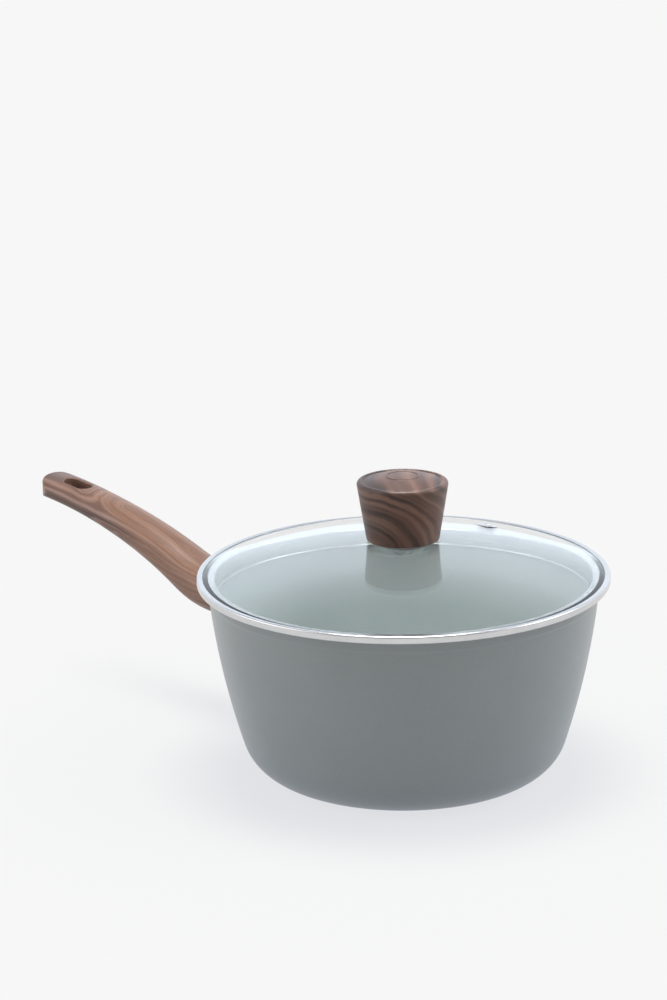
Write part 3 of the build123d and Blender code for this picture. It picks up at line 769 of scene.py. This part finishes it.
@dataclass
class Vessel:
    """The pressed, coated pan with its disc and handle fittings.

    Attributes:
        rim_radius, sheet: Outside of the wall at the top, and thickness of wall and floor.
        flat_radius, corner, bulge: Reach of the flat underside, radius of the bend, and of the wall's curve.
        band_height, band_step, band_lean, band_slope: Band round the rim: height, step, lean and slope.
        seat_depth, seat_opening: Depth of the widened mouth, and how much wider it is than the hollow.
        lip_round, foot_round, seat_round, edge_round: Roundings of rim, band, seat and recess.
        disc_radius, disc_recess: Recess for the perforated disc.
        around, longest: Places round the axis, and longest run between points of the outline.
    """

    rim_radius: float = 97.5
    sheet: float = 2.6
    flat_radius: float = 58.7
    corner: float = 23.3
    bulge: float = 395.0
    band_height: float = 6.0
    band_step: float = 0.4
    band_lean: float = 0.5
    band_slope: float = 0.8
    seat_depth: float = 7.4
    seat_opening: float = 0.9
    lip_round: float = 0.8
    foot_round: float = 0.5
    seat_round: float = 0.4
    edge_round: float = 0.15
    disc_radius: float = 52.0
    disc_recess: float = 0.6
    around: int = 288
    longest: float = 2.5

    def wall_centre(self, height: float) -> Pair:
        """Centre of the wall's arc: tangent to the corner arc, through the foot of the rim band."""
        foot = np.array((self.rim_radius - self.band_lean - self.band_step, height - self.band_height))
        corner = np.array((self.flat_radius, self.corner))
        gap = corner - foot
        span = float(np.hypot(*gap))
        along = (span**2 + self.bulge**2 - (self.bulge - self.corner) ** 2) / (2 * span)
        across = math.sqrt(self.bulge**2 - along**2)
        middle = foot + along * gap / span
        return float(middle[0] + across * gap[1] / span), float(middle[1] - across * gap[0] / span)

    def side(self, centre: Pair, inset: float, top: float) -> Array:
        """Corner arc and wall arc from the flat underside up to a height, moved inwards by inset."""
        lean = math.atan2(self.corner - centre[1], self.flat_radius - centre[0])
        rise = math.asin((top - centre[1]) / (self.bulge - inset))
        bend = arc((self.flat_radius, self.corner), self.corner - inset, -math.pi / 2, lean, 22)
        wall = arc(centre, self.bulge - inset, lean, rise, 30)
        return np.vstack((bend, wall[1:]))

    def outline(self, height: float) -> Array:
        """Closed half-section from the axis underneath, out, up over the rim and back down inside."""
        centre = self.wall_centre(height)
        seat = height - self.seat_depth
        outer = self.side(centre, 0.0, height - self.band_height)
        inner = self.side(centre, self.sheet, seat)[::-1]
        mouth = inner[0, 0] + self.seat_opening
        under = np.array(((0, self.disc_recess), (self.disc_radius, self.disc_recess), (self.disc_radius, 0)))
        band_low = (self.rim_radius - self.band_lean, height - self.band_height + self.band_slope)
        widening = seat + self.seat_opening
        rim = np.array((band_low, (self.rim_radius, height), (mouth, height), (mouth, widening)))
        corners = np.vstack((under, outer, rim, inner, ((0, self.sheet),)))
        radii = np.zeros(len(corners))
        first_rim = len(under) + len(outer)
        radii[len(under) - 1] = self.edge_round
        rim_rounds = (self.foot_round, self.lip_round, self.lip_round, self.seat_round)
        radii[first_rim:first_rim + len(rim)] = rim_rounds
        return divided(rounded(corners, radii, closed=False), self.longest)

    def mark_inside(self, pan: Object, height: float) -> None:
        """Mark the points of the hollow, where the coating paints light in: above the floor's middle and
        nearer the axis than the wall's.
        """
        radius, up = places_of(pan)
        middle = self.side(self.wall_centre(height), self.sheet / 2, height - self.seat_depth)
        wall = np.interp(up, middle[:, 1], middle[:, 0])
        mark(pan, HOLLOW_LIGHT_MASK, (up > self.sheet / 2) & (radius < wall + self.seat_opening))

    def build(self, book: FinishBook) -> None:
        """Build the coated pan and dress its disc, bracket, grip and screw."""
        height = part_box("pan_shell")[1].z / MM
        pan = placed("coated_pan", *turned(self.outline(height), self.around, closed=False))
        self.mark_inside(pan, height)
        book.dress_piece(pan, Body.PAN, Slot.SAGE, "pan_shell")
        book.dress_nodes(Slot.STAMPED, "induction_base")
        book.dress_nodes(Slot.ALUMINIUM, "handle_bracket")
        book.dress_nodes(Slot.GRIP, "handle_grip")
        book.dress_nodes(Slot.STEEL, "handle_screw", "handle_spring_washer")


@dataclass
class GlassLid:
    """Domed glass in its steel band, with the fittings under the vent and the knob.

    Attributes:
        band_radius, band_height, steel: The band's outside, and its thickness.
        lip, lip_slope, fall: Reach of the lip over the glass, how much of it slopes, and by how much.
        skirt_radius, skirt_drop, hem: Outside of the skirt, how far it hangs down, and the roll at its foot.
        ease: Share of each rounding that is used, so that two that meet stay apart.
        near: Play when points are picked by their place.
        around, longest: As for the pan.
    """

    band_radius: float = 102.45
    steel: float = 0.45
    band_height: float = 3.85
    lip: float = 2.85
    lip_slope: float = 1.5
    fall: float = 0.3
    skirt_drop: float = 9.35
    skirt_radius: float = 92.95
    hem: float = 0.9
    ease: float = 0.98
    near: float = 0.02
    around: int = 288
    longest: float = 1.5

    def mark_bed(self, band: Object, low: float) -> None:
        """Mark the points of the channel's inside, where the glass is bedded and the steel is drawn pale,
        partly as painted light.
        """
        radius, up = places_of(band)
        steel, near = self.steel, self.near
        between = (up > low + steel - near) & (up < low + self.band_height - steel + near)
        within = (radius > self.band_radius - self.lip - near) & (radius < self.band_radius - steel + near)
        mark(band, BED, between & within)

    def band_outline(self, low: float) -> Array:
        """Closed section of the band: its outside, the lip over the glass, the channel and the skirt."""
        steel, top = self.steel, low + self.band_height
        lip = self.band_radius - self.lip
        skirt = self.skirt_radius - steel
        foot = low - self.skirt_drop
        channel = self.band_radius - steel
        corners = np.array((
            (self.skirt_radius, low), (self.band_radius, low), (self.band_radius, top),
            (lip + self.lip_slope, top), (lip, top - self.fall), (lip, top - steel),
            (channel, top - steel), (channel, low + steel),
            (skirt, low + steel), (skirt, foot + self.hem),
            (skirt - self.hem / 2, foot + self.hem / 2), (skirt, foot), (self.skirt_radius, foot)))
        radii = self.ease * np.array((0.5, 1.0, 0.9, 3.0, 0.05, 0.05, 0.35, 0.35, 0.9, 0.3, 0.4, 0.3, 0.3))
        return divided(rounded(corners, radii, closed=True, steps=9, shoulder=0.03), self.longest)

    def build(self, book: FinishBook) -> None:
        """Build the band and dress the glass and the fittings."""
        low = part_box("lid_rim_band")[1].z / MM - self.band_height
        band = placed("steel_rim_band", *turned(self.band_outline(low), self.around, closed=True))
        self.mark_bed(band, low)
        book.dress_piece(band, Body.LID, Slot.STEEL, "lid_rim_band")
        book.dress_nodes(Slot.GLASS, "lid_glass")
        book.dress_nodes(Slot.STEEL, "vent_washer", "knob_washer", "knob_screw")
        book.dress_nodes(Slot.SILICONE, "knob_gasket", "knob_under_gasket")


@dataclass
class Vent:
    """Eyelet through the glass, with a domed flange above it and a curl below.

    Attributes:
        out, lean: Distance from the Z axis, and the outward lean that seats it, in degrees.
        bore, barrel, flange: Radii of its hole, tube and flange.
        mouth, crown, edge: Heights of the flange's inner edge, its crest, and its outer edge's two sides.
        foot, curl: Height of the curl, and its reach and thickness.
        clear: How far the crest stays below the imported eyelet's top.
        around, longest: As for the pan.
    """

    out: float = 62.5
    lean: float = 12.05
    bore: float = 2.3
    barrel: float = 3.1
    flange: float = 4.88
    mouth: float = 0.35
    crown: float = 0.74
    edge: Pair = (0.16, 0.42)
    foot: float = -5.0
    curl: Pair = (0.9, 0.58)
    clear: float = 0.01
    around: int = 96
    longest: float = 0.8

    def outline(self) -> Array:
        """Closed section: flange, tube and curl."""
        under, over = self.edge
        reach, deep = self.barrel + self.curl[0], self.foot - self.curl[1]
        corners = np.array((
            (self.bore, self.mouth), (0.5 * (self.bore + self.flange), self.crown), (self.flange, over),
            (self.flange, under), (self.barrel, under), (self.barrel, self.foot), (reach, self.foot),
            (reach, deep), (self.bore, deep)))
        radii = np.array((0.25, 1.2, 0.16, 0.06, 0.1, 0.1, 0.1, 0.25, 0.25))
        return divided(rounded(corners, radii, closed=True, shoulder=0.02), self.longest)

    def build(self, book: FinishBook) -> None:
        """Build the eyelet: turned upright, leant outwards by a turn about X, then moved on to the glass."""
        vertices, faces = turned(self.outline(), self.around, closed=True)
        sin, cos = math.sin(radians(self.lean)), math.cos(radians(self.lean))
        turn = np.array(((1, 0, 0), (0, cos, -sin), (0, sin, cos)))
        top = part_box("vent_eyelet")[1].z / MM
        seat = np.array((0, self.out, top - (self.crown + self.clear) * cos - self.flange * sin))
        eyelet = placed("rolled_eyelet", vertices @ turn + seat, faces)
        book.dress_piece(eyelet, Body.LID, Slot.STEEL, "vent_eyelet")


@dataclass
class Knob:
    """Conical knob with a rounded rim, a groove inside it, and a crowned top that carries a plain ring.

    Attributes:
        top_radius, foot_radius: The cone's ends.
        rim, rim_round, groove, crown: Flat rim, its rounding, the groove inside it and the crown's height.
        ring_radius, ring_width, ring_height, ring_lean, ring_round: The embossed ring and its edges.
        neck, bore, bore_low, bore_high: Hole for the screw, and the bush's bore above it.
        around, longest: As for the pan.
    """

    top_radius: float = 22.9
    foot_radius: float = 18.1
    rim: float = 2.9
    rim_round: float = 1.8
    groove: float = 0.5
    crown: float = 2.7
    ring_radius: float = 8.2
    ring_width: float = 0.8
    ring_height: float = 0.35
    ring_lean: float = 0.1
    ring_round: float = 0.08
    bore: float = 4.55
    bore_low: float = 1.0
    bore_high: float = 15.0
    neck: float = 2.6
    around: int = 192
    longest: float = 1.2

    def crown_height(self, radius: Array | float, top: float) -> Array | float:
        """Height of the crown at a radius: a sphere's cap from the groove up to the middle."""
        edge = self.top_radius - self.rim - self.groove
        swell = self.crown + self.groove
        ball = (edge**2 + swell**2) / (2 * swell)
        return top + self.crown - ball + np.sqrt(ball**2 - radius**2)

    def outline(self, foot: float, apex: float) -> Array:
        """Half-section from the axis on the crown, out over the rim, down the side and up the bush's bore."""
        top = apex - self.crown
        edge = self.top_radius - self.rim
        middle = np.linspace(0, self.ring_radius - self.ring_width, 12)
        beyond = np.linspace(self.ring_radius, edge - self.groove, 14)
        ring_top = self.crown_height(self.ring_radius, top) + self.ring_height
        ring = np.array((
            (self.ring_radius - self.ring_width + self.ring_lean, ring_top),
            (self.ring_radius - self.ring_lean, ring_top)))
        low = np.array((
            (edge, top), (self.top_radius, top), (self.foot_radius, foot), (self.neck, foot),
            (self.neck, foot + self.bore_low), (self.bore, foot + self.bore_low),
            (self.bore, foot + self.bore_high), (0, foot + self.bore_high)))
        corners = np.vstack((
            np.column_stack((middle, self.crown_height(middle, top))), ring,
            np.column_stack((beyond, self.crown_height(beyond, top))), low))
        radii = np.zeros(len(corners))
        radii[len(middle):len(middle) + len(ring)] = self.ring_round
        radii[-9:-4] = (0.35, 0.5, self.rim_round, 0.5, 0.1)
        return divided(rounded(corners, radii, closed=False, shoulder=0.02), self.longest)

    def build(self, book: FinishBook) -> None:
        """Build the knob and dress its brass bush."""
        low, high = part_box("knob")
        surface = turned(self.outline(low.z / MM, high.z / MM), self.around, closed=False)
        book.dress_piece(placed("wood_look_knob_skin", *surface), Body.LID, Slot.KNOB, "knob")
        book.dress_nodes(Slot.BRASS, "knob_insert")


@dataclass(frozen=True)
class Softbox:
    """One square softbox that faces the pan.

    Attributes:
        name: The lamp's name.
        bearing, rise: Direction from the pan, in degrees from the camera's left-to-right line and up.
        away, size, aim: Distance, side, and height of the point that it faces, in metres.
        power, colour: Watts and colour.
        beam: Angle that a honeycomb grid narrows the light to, in degrees.
    """

    name: str
    bearing: float
    rise: float
    away: float
    size: float
    power: float
    colour: Colour
    beam: float = 180.0
    aim: float = 0.05

    def hang(self, azimuth: float) -> None:
        """Hang the softbox, for a camera at this azimuth in degrees."""
        lamp = bpy.data.lights.new(self.name, "AREA")
        lamp.spread = radians(self.beam)
        lamp.energy, lamp.size, lamp.color = self.power, self.size, self.colour
        angle, up = radians(self.bearing + azimuth), radians(self.rise)
        way = Vector((math.cos(angle) * math.cos(up), math.sin(angle) * math.cos(up), math.sin(up)))
        place = Matrix.Translation(way * self.away + Vector((0, 0, self.aim)))
        put(self.name, lamp).matrix_world = place @ way.to_track_quat("Z", "Y").to_matrix().to_4x4()


@dataclass
class Studio:
    """Pale floor, soft light and the camera.

    Attributes:
        azimuth, elevation, roll: The camera's direction, in degrees.
        spot, clip, lens, sensor: Its place and reach in metres, focal length and sensor width in millimetres.
        backdrop: Light of the plain background.
        front, sides, back, above: Light that the surroundings cast from each direction.
        to_sides, to_back, to_above: Where, as a share of the way back or up, one gives way to the next.
        paper: Share of light that the floor reflects near the pan.
        glow: Even light added to the floor: as the camera sees it, and as everything else does.
        floor_side, fade: Half the floor's width, and where it starts and ends melting away, in metres.
        lamps: The softboxes.
    """

    azimuth: float = 45.0
    elevation: float = 15.86
    roll: float = -0.91
    spot: tuple[float, float, float] = (0.9803, -1.0284, 0.5427)
    clip: float = 50.0
    lens: float = 108.0
    sensor: float = 36.0
    backdrop: Colour = (0.9301, 0.9301, 0.9301)
    front: Colour = (0.40, 0.41, 0.44)
    sides: Colour = (0.80, 0.82, 0.92)
    back: Colour = (1.10, 1.20, 1.33)
    above: Colour = (0.36, 0.37, 0.40)
    to_sides: Pair = (-0.8, 0.1)
    to_back: Pair = (0.1, 0.9)
    to_above: Pair = (0.50, 0.72)
    paper: Colour = (0.13, 0.13, 0.105)
    glow: tuple[Colour, Colour] = ((0.70, 0.705, 0.74), (0.56, 0.58, 0.65))
    floor_side: float = 12.0
    fade: Pair = (0.11, 0.27)
    lamps: tuple[Softbox, ...] = (
        Softbox("left_softbox", 190.0, 30.0, 1.6, 1.2, 6.0, (1.0, 0.985, 0.97)),
        Softbox("right_softbox", 0.0, 35.0, 1.8, 1.2, 13.0, (0.93, 0.965, 1.0)),
        Softbox("overhead_softbox", 90.0, 86.0, 1.0, 0.55, 1.9, (1.0, 1.0, 1.0), 65.0))

    def camera(self) -> None:
        """Set up the camera."""
        data = bpy.data.cameras.new("camera")
        data.lens, data.sensor_width, data.clip_end = self.lens, self.sensor, self.clip
        camera = put("camera", data)
        turn = Matrix.Rotation(radians(self.azimuth), 4, "Z")
        tilt = Matrix.Rotation(radians(90 - self.elevation), 4, "X")
        roll = Matrix.Rotation(radians(self.roll), 4, "Z")
        camera.matrix_world = Matrix.Translation(self.spot) @ turn @ tilt @ roll
        bpy.context.scene.camera = camera

    def surroundings(self) -> None:
        """Pale surroundings, brightest low down behind the pan; the camera sees the plain backdrop."""
        world = bpy.data.worlds.new("studio")
        world.use_nodes = True
        desk = Desk(world.node_tree)
        way = desk.add("TexCoord").outputs["Generated"]
        x, y, z = desk.add("SeparateXYZ", {0: way}).outputs
        turn = radians(self.azimuth)
        behind = desk.sum("MULTIPLY_ADD", x, -math.sin(turn), desk.sum("MULTIPLY", y, math.cos(turn)))
        colour: Value = self.front
        for share, limits, next_colour in (
                (behind, self.to_sides, self.sides), (behind, self.to_back, self.back),
                (z, self.to_above, self.above)):
            colour = desk.blend(desk.spread(share, *limits), colour, next_colour)
        cast = desk.add("Background", {"Color": colour})
        seen = desk.add("Background", {"Color": self.backdrop})
        eye = desk.add("LightPath").outputs["Is Camera Ray"]
        both = desk.add("MixShader", {0: eye, 1: cast.outputs[0], 2: seen.outputs[0]})
        desk.add("OutputWorld", {"Surface": both.outputs[0]})
        bpy.context.scene.world = world
        bpy.context.scene.view_settings.view_transform = "Standard"

    def floor(self) -> None:
        """Pale floor that takes soft shadows near the pan and melts into the background."""
        side = self.floor_side
        corners = [(-side, -side, 0), (side, -side, 0), (side, side, 0), (-side, side, 0)]
        mesh = bpy.data.meshes.new("floor")
        mesh.from_pydata(corners, [], [(0, 1, 2, 3)])
        floor = put("floor", mesh)
        material, desk = new_material("pale_floor")
        paper = desk.add("BsdfDiffuse", {"Color": self.paper})
        eye = desk.add("LightPath").outputs["Is Camera Ray"]
        glow = desk.add("Emission", {"Color": desk.blend(eye, self.glow[1], self.glow[0])})
        near = desk.add("AddShader", {0: paper.outputs[0], 1: glow.outputs[0]})
        even = desk.add("Emission", {"Color": self.backdrop})
        reach = desk.vector("LENGTH", desk.object_place())
        share = desk.spread(reach, *self.fade)
        finished(desk, desk.add("MixShader", {0: share, 1: near.outputs[0], 2: even.outputs[0]}).outputs[0])
        mesh.materials.append(material)

    def build(self) -> None:
        """Set up camera, surroundings, floor and lamps."""
        self.camera()
        self.surroundings()
        self.floor()
        for lamp in self.lamps:
            lamp.hang(self.azimuth)
        LOG.info("studio is set")


def main() -> None:
    """Build the saucepan round its frame, then the studio."""
    logging.basicConfig(level=logging.INFO, format="%(message)s")
    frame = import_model()
    book = FinishBook(frame)
    for part in (Vessel(), GlassLid(), Vent(), Knob()):
        part.build(book)
    Studio().build()


if __name__ == "__main__":
    main()
